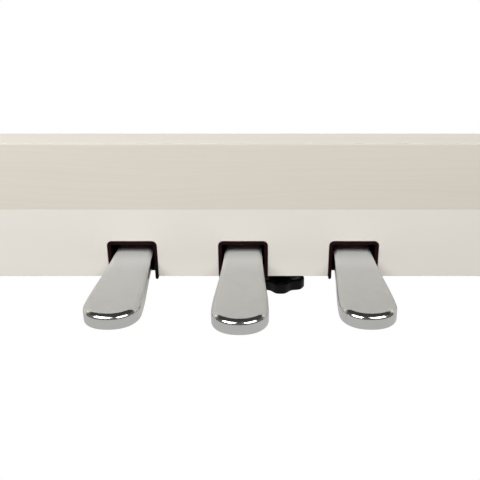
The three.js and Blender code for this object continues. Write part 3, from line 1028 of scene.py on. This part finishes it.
@dataclass
class Boards:
    """The crossboard and the lower panel, which meet flush along one crisp line."""

    crossboard_edge: float = 1.0 * MM
    panel_edge: float = 0.6 * MM
    seam_edge: float = 0.12 * MM
    notch_fit: float = 0.08 * MM
    notch_corner: float = 4.55 * MM

    def build(self) -> None:
        """Make both boards."""
        self._crossboard()
        self._lower_panel()

    def _crossboard(self) -> None:
        """The upper board: a section with eased edges, drawn out along X."""
        low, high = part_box("crossboard")
        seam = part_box("lower_panel")[1].z
        big, small = self.crossboard_edge, self.seam_edge
        section = [
            *arc((low.y + small, seam + small), small, 180, 270, 2),
            *arc((high.y - big, seam + big), big, 270, 360, 5),
            *arc((high.y - big, high.z - big), big, 0, 90, 5),
            *arc((low.y + big, high.z - big), big, 90, 180, 5),
        ]
        piece = extruded("crossboard_foil", section, Plane.SIDE, low.x, high.x)
        mount(smooth(piece), WOODGRAIN, "crossboard")

    def _notch(self, name: str, bottom: float) -> list[Point2]:
        """Outline of one notch.

        Args:
            name: The pedal that comes out of the notch.
            bottom: Height of the panel's lower edge.

        Returns:
            Points from its left foot, over its roof, to its right foot.
        """
        low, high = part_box(f"{name}_bezel")
        fit, corner = self.notch_fit, self.notch_corner
        left, right, top = low.x - fit, high.x + fit, high.z + fit
        return [
            (left, bottom),
            *arc((left + corner, top - corner), corner, 180, 90, 8),
            *arc((right - corner, top - corner), corner, 90, 0, 8),
            (right, bottom),
        ]

    def _lower_panel(self) -> None:
        """The lower board with its three notches."""
        low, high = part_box("lower_panel")
        outline = [(low.x, high.z), (low.x, low.z)]
        for name in PEDAL_NAMES:
            outline += self._notch(name, low.z)
        outline += [(high.x, low.z), (high.x, high.z)]
        piece = extruded("lower_panel_lacquer", outline, Plane.FRONT, low.y, high.y)
        self._ease_panel(piece, high.z)
        mount(smooth(baked(piece)), LACQUER, "lower_panel")

    def _ease_panel(self, piece: Piece, top: float) -> None:
        """Round the panel's edges, less along the seam with the crossboard.

        Args:
            piece: The panel.
            top: Height of the seam.
        """
        mesh = piece.data
        weights = mesh.attributes.new("bevel_weight_edge", "FLOAT", "EDGE")
        for edge in mesh.edges:
            ends = [mesh.vertices[k].co for k in edge.vertices]
            along_depth = abs(ends[0].y - ends[1].y) > LEVEL
            on_seam = all(abs(end.z - top) < LEVEL for end in ends)
            share = self.seam_edge / self.panel_edge if on_seam else 1.0
            weights.data[edge.index].value = 0.0 if along_depth else share
        bevel = piece.modifiers.new("edges", "BEVEL")
        bevel.width = self.panel_edge
        bevel.segments = 3
        bevel.limit_method = "WEIGHT"


@dataclass
class Bezel:
    """The plastic arch that lines one notch."""

    name: str
    corner: float = 4.5 * MM
    wall: float = 3.0 * MM
    inner_corner: float = 1.6 * MM
    edge: float = 0.45 * MM

    def build(self) -> None:
        """Make the arch with round feet."""
        low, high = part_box(f"{self.name}_bezel")
        wall, corner, inner = self.wall, self.corner, self.inner_corner
        foot = low.z + wall / 2
        roof = high.z - wall
        left, right = low.x, high.x
        outline = [
            *arc((left + wall / 2, foot), wall / 2, 360, 180, 8),
            *arc((left + corner, high.z - corner), corner, 180, 90, 10),
            *arc((right - corner, high.z - corner), corner, 90, 0, 10),
            *arc((right - wall / 2, foot), wall / 2, 0, -180, 8),
            *arc((right - wall - inner, roof - inner), inner, 0, 90, 4),
            *arc((left + wall + inner, roof - inner), inner, 90, 180, 4),
        ]
        piece = extruded(f"{self.name}_notch_bezel", outline, Plane.FRONT, low.y, high.y)
        mount(eased(piece, self.edge), BEZEL_PLASTIC, f"{self.name}_bezel")


@dataclass
class Pedal:
    """A plated cast pedal: satin crowned top, bright rounded edges and a hollow underside."""

    name: str
    nose_length: float = 24.0 * MM
    nose_power: float = 2.25
    shoulder: float = 30.0 * MM
    waist: float = 56.0 * MM
    waist_half: float = 18.4 * MM
    neck: float = 114.0 * MM
    neck_half: float = 18.1 * MM
    edge: float = 5.3 * MM
    edge_drop: float = 3.9 * MM
    bottom_edge: float = 0.7 * MM
    crown: float = 0.3 * MM
    crown_width: float = 9.0 * MM
    wall: float = 3.4 * MM
    skin: float = 4.5 * MM
    hollow_length: float = 80.0 * MM
    seat_height: float = 5.3 * MM
    seat_gap: float = 0.3 * MM
    edge_steps: int = 12
    crown_steps: int = 8
    nose_steps: int = 96
    nose_tilt: float = 9.0
    side_tilt: float = 62.0
    side_start: float = 0.8
    side_full: float = 0.985
    low: Vector = field(init=False)
    high: Vector = field(init=False)
    head: float = field(init=False)
    middle: float = field(init=False)

    def __post_init__(self) -> None:
        """Read the pedal's box from the frame."""
        self.low, self.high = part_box(f"{self.name}_pedal")
        self.head = (self.high.x - self.low.x) / 2
        self.middle = (self.high.x + self.low.x) / 2

    def outline(self, inset: float, tail: float) -> list[Point2]:
        """Plan outline, anticlockwise from the tail's left corner.

        Args:
            inset: How far inside the pedal's edge it runs.
            tail: Y of its straight back end.

        Returns:
            The points, the same number for every inset.
        """
        head, neck, waist = (half - inset for half in (self.head, self.neck_half, self.waist_half))
        centre = self.low.y + self.nose_length
        neck_y = centre + self.neck
        shoulder, waist_y = centre + self.shoulder, centre + self.waist
        side = bezier((head, centre), (head, shoulder), (waist, waist_y), (neck, neck_y), 26)
        left = [(-x, y) for x, y in reversed(side)]
        nose = self._nose(head, self.nose_length - inset, centre)
        points = [(-neck, tail - inset), *left, *nose, *side, (neck, tail - inset)]
        return [(self.middle + x, y) for x, y in points]

    def _nose(self, half: float, length: float, centre: float) -> list[Point2]:
        """The full round nose between the two sides.

        Args:
            half: Half of its width.
            length: How far it reaches forwards.
            centre: Y of its widest place.

        Returns:
            Points from left to right, without its two ends.
        """
        steps, power = self.nose_steps, 2 / self.nose_power
        points = []
        for k in range(1, steps):
            angle = math.pi * (1 - k / steps)
            x = math.copysign(half * abs(math.cos(angle)) ** power, math.cos(angle))
            points.append((x, centre - length * math.sin(angle) ** power))
        return points

    def _ring(self, inset: float, height: float) -> list[Vector]:
        """The whole outline at one inset and height."""
        return [Vector((x, y, height)) for x, y in self.outline(inset, self.high.y)]

    def _profile(self) -> list[Point2]:
        """Section of the pedal from below, up its wall and over its top.

        Returns:
            Pairs of inset and height, from the bottom face up to the crown.
        """
        small, big = self.bottom_edge, self.edge
        steps = [(small + 0.3 * MM, self.low.z)]
        steps += [
            (small - small * math.sin(a), self.low.z + small - small * math.cos(a))
            for a in (math.radians(d) for d in (0, 30, 60, 90))
        ]
        shoulder = self.high.z - self.edge_drop
        for k in range(self.edge_steps + 1):
            a = math.radians(90 * k / self.edge_steps)
            inset = big - big * math.cos(a)
            steps.append((inset, shoulder + self.edge_drop * math.sin(a) - self._sink(inset)))
        for k in range(1, self.crown_steps + 1):
            inset = big + self.crown_width * k / self.crown_steps
            steps.append((inset, self.high.z - self._sink(inset)))
        steps.append((big + self.crown_width + 0.5 * MM, self.high.z))
        return steps

    def _sink(self, inset: float) -> float:
        """How far the crowned top lies below its highest level at an inset."""
        share = max(0.0, 1 - inset / (self.edge + self.crown_width))
        return self.crown * share * share

    def build(self) -> None:
        """Make the casting and ride it on its arm."""
        rings = [self._ring(*step) for step in self._profile()]
        piece = lofted(f"{self.name}_pedal_casting", rings)
        smooth(cut(piece, self._hollows()))
        mount(piece, SATIN_PLATE, f"{self.name}_pedal", body=f"{self.name}_pedal_arm")
        self._polish(piece)

    def _hollows(self) -> list[Piece]:
        """The scoop under the head and the seat that the lever is screwed into.

        Returns:
            Two solids to cut away.
        """
        back = self.low.y + self.hollow_length
        below = self.low.z - 2 * MM
        ceiling = self.high.z - self.skin
        scoop = extruded("scoop", self.outline(self.wall, back), Plane.PLAN, below, ceiling)
        lever_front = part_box(f"{self.name}_lever")[0].y
        seat_low = Vector((self.low.x - MM, lever_front - self.seat_gap, below))
        seat_high = Vector((self.high.x + MM, self.high.y + MM, self.low.z + self.seat_height))
        return [scoop, block("seat", seat_low, seat_high)]

    def _polish(self, piece: Piece) -> None:
        """Plate the nose and the walls bright, and leave the top and its side edges satin.

        Args:
            piece: The casting, in satin.
        """
        piece.data.materials.append(BRIGHT_PLATE.material())
        for face in piece.data.polygons:
            across = math.hypot(face.normal.x, face.normal.y)
            side = abs(face.normal.x) / across if across > 0 else 0.0
            share = (side - self.side_start) / (self.side_full - self.side_start)
            share = min(1.0, max(0.0, share))
            tilt = self.nose_tilt + (self.side_tilt - self.nose_tilt) * share
            face.material_index = 0 if face.normal.z > math.cos(math.radians(tilt)) else 1


def merged_copy(node: str, name: str) -> Piece:
    """A copy of a node's mesh with shared corners and whole flat faces.

    Args:
        node: The node's name.
        name: The copy's name.

    Returns:
        The copy, at the origin.
    """
    work = bmesh.new()
    work.from_mesh(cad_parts[node].data)
    bmesh.ops.remove_doubles(work, verts=work.verts, dist=LEVEL)
    same_plane = math.radians(0.5)
    bmesh.ops.dissolve_limit(
        work, angle_limit=same_plane, verts=work.verts, edges=work.edges, delimit={"NORMAL"}
    )
    return from_bmesh(name, work)


@dataclass
class SheetMetal:
    """The black box and lid behind the boards, and the zinc-plated brackets and joining plates."""

    edge: float = 0.5 * MM

    def build(self) -> None:
        """Ease a copy of each and give it its coat."""
        zinc = [f"{kind}_{side}" for side in SIDES for kind in ("end_bracket", "joining_plate")]
        jobs = [(node, "coated", BLACK_STEEL) for node in ("pedal_box", "pedal_box_lid")]
        jobs += [(node, "plated", ZINC) for node in zinc]
        for node, treated, finish in jobs:
            piece = eased(merged_copy(node, f"{node}_{treated}"), self.edge, 2)
            mount(piece, finish, node)


@dataclass
class Adjuster:
    """Lobed knob, threaded rod and rubber foot that prop the board's middle."""

    lobes: int = 6
    lobe_depth: float = 4.2 * MM
    lobe_bite: float = 0.62
    lobe_power: float = 1.25
    knob_steps: int = 192
    knob_crisp: float = 50.0
    top_edge: float = 1.8 * MM
    bottom_edge: float = 1.08 * MM
    dish: float = 1.2 * MM
    dish_start: float = 5.5 * MM
    dish_full: float = 7.0 * MM
    hub: float = 10.0 * MM
    hub_height: float = 3.0 * MM
    hub_edge: float = 0.8 * MM
    recess: float = 18.0 * MM
    recess_height: float = 2.5 * MM
    bore: float = 5.2 * MM
    chamfer: float = 0.4 * MM
    pitch: float = 1.5 * MM
    ridge: float = 0.45 * MM
    thread_margin: float = 1.5 * MM
    disc: float = 3.5 * MM
    disc_edge: float = 0.7 * MM
    boss: float = 4.0 * MM

    def build(self) -> None:
        """Make the three pieces."""
        self._knob()
        self._rod()
        self._foot()

    def _ring(self, radius: float, depth: float, height: float, inset: float = 0.0) -> list[Vector]:
        """One ring of the knob.

        Args:
            radius: Radius over the lobes.
            depth: Depth of the hollows between them.
            height: Height of the ring.
            inset: Further inwards by this much.

        Returns:
            The ring's points about the rod's axis.
        """
        axis = centre_of("adjuster_rod")
        ring = []
        for k in range(self.knob_steps):
            angle = 2 * math.pi * k / self.knob_steps
            wave = math.cos(self.lobes * (angle + math.pi / 2))
            hollow = max(0.0, 0.5 - self.lobe_bite * wave) / (0.5 + self.lobe_bite)
            r = radius - inset - depth * hollow**self.lobe_power
            x, y = axis.x + r * math.cos(angle), axis.y + r * math.sin(angle)
            ring.append(Vector((x, y, height)))
        return ring

    def _knob(self) -> None:
        """The knob: recess below, lobed rim, dished top and hub."""
        low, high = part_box("adjuster_knob")
        radius = (high.y - low.y) / 2
        ceiling = low.z + self.recess_height
        rim_top = high.z - self.hub_height
        bowl = rim_top - self.dish
        depth, top, bottom, fine = self.lobe_depth, self.top_edge, self.bottom_edge, self.chamfer
        quarter = [math.radians(degrees) for degrees in range(0, 91, 15)]
        rows = [
            (self.bore, 0.0, ceiling),
            (self.recess - fine, 0.0, ceiling),
            (self.recess, 0.0, ceiling - fine),
            (self.recess, 0.0, low.z),
        ]
        turn = [(1 - math.cos(a), 1 - math.sin(a)) for a in quarter]
        rows += [(radius, depth, low.z + bottom * up, bottom * back) for up, back in turn]
        rows += [(radius, depth, rim_top - top * down, top * back) for back, down in turn]
        rows += [
            (radius - self.dish_start, depth * 0.4, rim_top - 0.1 * MM),
            (radius - self.dish_full, 0.0, bowl),
            (self.hub + 1.2 * MM, 0.0, bowl),
            (self.hub + 0.3 * MM, 0.0, bowl + 0.6 * MM),
            (self.hub, 0.0, high.z - self.hub_edge),
            (self.hub - self.hub_edge, 0.0, high.z),
            (self.bore + fine, 0.0, high.z),
            (self.bore, 0.0, high.z - fine),
        ]
        piece = lofted("height_knob", [self._ring(*row) for row in rows], looped=True)
        mount(smooth(piece, self.knob_crisp), KNOB_PLASTIC, "adjuster_knob", body=Body.SCREW.value)

    def _rod(self) -> None:
        """The rod: a core with a thread wound round it."""
        low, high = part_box("adjuster_rod")
        axis = centre_of("adjuster_rod")
        core_radius = (high.x - low.x) / 2 - self.ridge
        tip, length = core_radius - MM, high.z - low.z
        profile = [(tip, 0.0), (core_radius, MM), (core_radius, length - MM), (tip, length)]
        core = turned("rod_core", profile, Vector((axis.x, axis.y, low.z)), 48)
        rise = length - 2 * self.thread_margin
        thread = new_object("rod_thread", bpy.data.meshes.new("rod_thread"))
        wound_at = core_radius - 0.05 * MM
        tree = HelixTree("thread_winding", wound_at, self.ridge, rise / self.pitch, rise, 0.0)
        tree.grow(thread, ZINC)
        start = (axis.x, axis.y, low.z + self.thread_margin)
        thread.data.transform(Matrix.Translation(start))
        piece = joined("adjuster_threaded_rod", [smooth(core), thread])
        mount(piece, ZINC, "adjuster_rod", body=Body.SCREW.value)

    def _foot(self) -> None:
        """The rubber foot with a rounded rim and its centre boss."""
        low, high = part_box("adjuster_foot")
        axis = centre_of("adjuster_foot")
        radius, length = (high.x - low.x) / 2, high.z - low.z
        edge, fine = self.disc_edge, self.chamfer
        profile = [
            (radius - 1.6 * MM, 0.0),
            (radius - MM, 0.0),
            *arc((radius - MM, MM), MM, -75, 0, 5),
            *arc((radius - edge, self.disc - edge), edge, 0, 90, 4),
            (self.boss + fine, self.disc),
            (self.boss, self.disc + fine),
            (self.boss, length - fine),
            (self.boss - fine, length),
        ]
        piece = turned("adjuster_rubber_foot", profile, Vector((axis.x, axis.y, low.z)), 96)
        mount(smooth(piece), RUBBER, "adjuster_foot", body=Body.FOOT.value)


def joined(name: str, parts: Sequence[Piece]) -> Piece:
    """One object from several.

    Args:
        name: Name of the whole.
        parts: Objects that are used up.

    Returns:
        The new object.
    """
    work = bmesh.new()
    for part in parts:
        work.from_mesh(part.data)
        bpy.data.objects.remove(part)
    return from_bmesh(name, work)


@dataclass
class ReturnSpring:
    """A compression spring under a lever, which flattens as its pedal goes down."""

    name: str
    wire: float = 0.9 * MM
    turns: float = 3.0
    flat: float = 0.2
    squeezed: float = 0.615

    def build(self) -> None:
        """Wind the spring and let it ride on the board."""
        node = f"{self.name}_spring"
        low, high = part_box(node)
        radius = (high.x - low.x) / 2 - self.wire
        rise = high.z - low.z - 2 * self.wire
        piece = new_object(f"{self.name}_coil_spring", bpy.data.meshes.new(node))
        winding = f"{self.name}_winding"
        tree = HelixTree(winding, radius, self.wire, self.turns, rise, self.flat)
        tree.grow(piece, SPRING_WIRE)
        middle = centre_of(node)
        piece.data.transform(Matrix.Translation((middle.x, middle.y, low.z + self.wire)))
        mount(piece, SPRING_WIRE, node)
        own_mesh(piece)


@dataclass
class Screws:
    """Cross-head screws that hold the box, the plates and the lid."""

    radius: float = 4.2 * MM
    height: float = 2.4 * MM
    lid_radius: float = 3.0 * MM
    lid_height: float = 1.7 * MM
    plate_reach: float = 18.0 * MM
    plate_margin: float = 16.0 * MM
    plate_sheet: float = 2.0 * MM
    lid_row: float = 6.0 * MM
    lid_shares: tuple[float, ...] = (0.15, 0.5, 0.85)
    crisp: float = 30.0

    def build(self) -> None:
        """Put heads on the frame's screws, the joining plates and the lid."""
        nodes = self._screw_nodes()
        self._heads("board_screw_heads", self._driven(), self.radius, self.height, nodes)
        self._heads("lid_screw_heads", self._on_lid(), self.lid_radius, self.lid_height, [])

    @staticmethod
    def _screw_nodes() -> list[str]:
        """Names of the frame's wood screws.

        Returns:
            The names, the end brackets' screws first.
        """
        kinds = ("bracket_screw", "box_screw")
        levels = ("lower", "upper")
        return [f"{kind}_{side}_{level}" for kind in kinds for side in SIDES for level in levels]

    def _driven(self) -> list[tuple[Vector, Vector]]:
        """Where the heads that face backwards sit.

        Returns:
            Pairs of seat and direction.
        """
        back = Vector((0.0, 1.0, 0.0))
        seats = []
        for node in self._screw_nodes():
            middle = centre_of(node)
            seats.append((Vector((middle.x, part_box(node)[1].y - self.height, middle.z)), back))
        for side in SIDES:
            low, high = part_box(f"joining_plate_{side}")
            middle = (low + high) / 2
            lower_row = (low.y + self.plate_sheet, low.z + self.plate_margin)
            for y, z in (lower_row, (high.y, high.z - self.plate_margin)):
                for offset in (-self.plate_reach, self.plate_reach):
                    seats.append((Vector((middle.x + offset, y, z)), back))
        return seats

    def _on_lid(self) -> list[tuple[Vector, Vector]]:
        """Where the lid's heads sit, three on each side.

        Returns:
            Pairs of seat and direction.
        """
        low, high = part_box("pedal_box_lid")
        z = low.z + self.lid_row
        depth = high.y - low.y
        seats = []
        for share in self.lid_shares:
            y = low.y + depth * share
            seats.append((Vector((low.x, y, z)), Vector((-1.0, 0.0, 0.0))))
            seats.append((Vector((high.x, y, z)), Vector((1.0, 0.0, 0.0))))
        return seats

    def _heads(
        self, name: str, seats: list, radius: float, height: float, nodes: list[str]
    ) -> None:
        """Grow one head on each seat.

        Args:
            name: Name of the piece.
            seats: Pairs of place and direction.
            radius: Radius of a head.
            height: Height of a head.
            nodes: Nodes that the heads stand for.
        """
        mesh = bpy.data.meshes.new(name)
        mesh.from_pydata([seat for seat, _ in seats], [], [])
        facing = mesh.attributes.new("facing", "FLOAT_VECTOR", "POINT")
        for k, (_, direction) in enumerate(seats):
            facing.data[k].vector = direction
        piece = new_object(name, mesh)
        ScrewHeadTree(f"{name}_tree", radius, height).grow(piece, ZINC, self.crisp)
        mount(piece, ZINC, *nodes)


@dataclass
class Mechanism:
    """The working parts inside the box, whose frame nodes keep their shape and get their finish."""

    shared: tuple[tuple[str, Finish], ...] = (
        ("adjuster_nut", ZINC),
        ("circuit_board", RESIST),
        ("board_spacer_left", NYLON),
        ("board_spacer_right", NYLON),
        ("cable_socket", DARK_PLASTIC),
    )
    per_pedal: tuple[tuple[str, Finish], ...] = (
        ("lever", ZINC),
        ("lever_screw", ZINC),
        ("bush", NYLON),
        ("pivot_pin", ZINC),
        ("pivot_bracket", BLACK_STEEL),
        ("rest_felt", FELT),
        ("stop_rubber", RUBBER),
        ("sensor", DARK_PLASTIC),
        ("sensor_plunger", NYLON),
    )

    def build(self) -> None:
        """Finish every node that is still shown."""
        parts = list(self.shared)
        for name in PEDAL_NAMES:
            parts += [(f"{name}_{part}", finish) for part, finish in self.per_pedal]
        for node, finish in parts:
            coat(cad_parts[node], finish)
        LOG.info("mechanism: %d nodes finished", len(parts))


# --- Camera, floor and light ---


@dataclass
class Viewpoint:
    """A camera in front of the middle pedal that looks down at the board."""

    side: float = 17.3 * MM
    distance: float = 566.1 * MM
    height: float = 283.8 * MM
    tilt: float = 23.5
    lens: float = 49.69
    sensor: float = 36.0
    shift: float = -0.0448
    near: float = 10 * MM
    far: float = 100.0

    def build(self) -> None:
        """Place the camera from the middle pedal, the panel's front and its bottom edge."""
        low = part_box("lower_panel")[0]
        camera = bpy.data.objects.new("camera", bpy.data.cameras.new("camera"))
        bpy.context.scene.collection.objects.link(camera)
        middle = centre_of("sostenuto_pedal").x
        camera.location = (middle + self.side, low.y - self.distance, low.z + self.height)
        camera.rotation_euler = (math.radians(90 - self.tilt), 0.0, 0.0)
        camera.data.lens = self.lens
        camera.data.sensor_width = self.sensor
        camera.data.shift_x = self.shift
        camera.data.clip_start = self.near
        camera.data.clip_end = self.far
        bpy.context.scene.camera = camera


@dataclass
class SoftBox:
    """A wide soft box aimed at the middle pedal."""

    name: str
    turn: float
    level: float
    distance: float = 1.9
    rise: float = 46.0
    width_share: float = 0.7
    height_share: float = 0.44

    def build(self) -> None:
        """Hang the lamp and aim it."""
        turn, rise = math.radians(self.turn), math.radians(self.rise)
        level = Vector((math.sin(turn), -math.cos(turn), 0.0))
        toward = level * math.cos(rise) + Vector((0.0, 0.0, math.sin(rise)))
        light = bpy.data.lights.new(self.name, "AREA")
        light.shape = "RECTANGLE"
        light.size = self.distance * self.width_share
        light.size_y = self.distance * self.height_share
        light.energy = WATTS * light.size * light.size_y * self.level
        lamp = bpy.data.objects.new(self.name, light)
        bpy.context.scene.collection.objects.link(lamp)
        lamp.location = centre_of("sostenuto_pedal") + toward * self.distance
        lamp.rotation_euler = toward.to_track_quat("Z", "Y").to_euler()
        lamp.visible_camera = False


@dataclass
class Studio:
    """A floor and a soft surround, white for the camera, with a soft box either side in front."""

    floor_size: float = 30.0
    floor_light: float = 0.54
    front_light: float = 0.13
    back_light: float = 1.35
    top_light: float = 0.05
    wall_fade: Point2 = (0.25, 0.6)
    ceiling_fade: Point2 = (0.55, 0.7)
    boxes: tuple[SoftBox, ...] = (
        SoftBox("key_box", -43.0, 6.0, 1.3),
        SoftBox("fill_box", 43.0, 3.9),
    )

    def build(self) -> None:
        """Make the floor, the surround and the soft boxes."""
        scene = bpy.context.scene
        scene.view_settings.view_transform = "Standard"
        scene.view_settings.look = "None"
        self._floor()
        self._surround()
        for box in self.boxes:
            box.build()

    def _floor(self) -> None:
        """A level sheet under the foot: white for the camera alone, and clear from below."""
        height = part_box("adjuster_foot")[0].z
        low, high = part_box("lower_panel")
        middle = (low + high) / 2
        half = self.floor_size / 2
        turns = ((-1, -1), (1, -1), (1, 1), (-1, 1))
        corners = [(middle.x + u * half, middle.y + v * half, height) for u, v in turns]
        mesh = bpy.data.meshes.new("floor")
        mesh.from_pydata(corners, [], [(0, 1, 2, 3)])
        floor = new_object("floor", mesh)
        shader = Shader("floor_white")
        level = shader.seen().toward(self.floor_light, 1.0)
        glow = shader.first("ShaderNodeEmission", {}, {"Strength": level})
        clear = shader.first("ShaderNodeBsdfTransparent", {}, {})
        below = shader.node("ShaderNodeNewGeometry", {}, {}).outputs["Backfacing"]
        sheet = shader.first("ShaderNodeMixShader", {}, {0: below, 1: glow, 2: clear})
        shader.feed(shader.tree.nodes["Material Output"].inputs["Surface"], sheet)
        mesh.materials.append(shader.material)

    def _surround(self) -> None:
        """A pale wall behind, a dim room in front and above, and white for the camera alone."""
        world = bpy.data.worlds.new("surround")
        bpy.context.scene.world = world
        world.use_nodes = True
        world.cycles.sampling_method = "NONE"
        world.node_tree.nodes.clear()
        graph = Graph(world.node_tree)
        _, y, z = graph.parts(graph.first("ShaderNodeTexCoord", {}, {}))
        room = y.ramp(*self.wall_fade).toward(self.front_light, self.back_light)
        room = z.ramp(*self.ceiling_fade).toward(room, self.top_light)
        sockets = {"Color": (1.0, 1.0, 1.0), "Strength": graph.seen().toward(room, 1.0)}
        glow = graph.first("ShaderNodeBackground", {}, sockets)
        graph.node("ShaderNodeOutputWorld", {}, {"Surface": glow})


def main() -> None:
    """Build the camera, the studio and every piece, in order."""
    logging.basicConfig(level=logging.INFO, format="%(name)s: %(message)s")
    Viewpoint().build()
    Studio().build()
    Boards().build()
    for name in PEDAL_NAMES:
        Bezel(name).build()
        Pedal(name).build()
        ReturnSpring(name).build()
    SheetMetal().build()
    Adjuster().build()
    Screws().build()
    Mechanism().build()


if __name__ == "__main__":
    main()
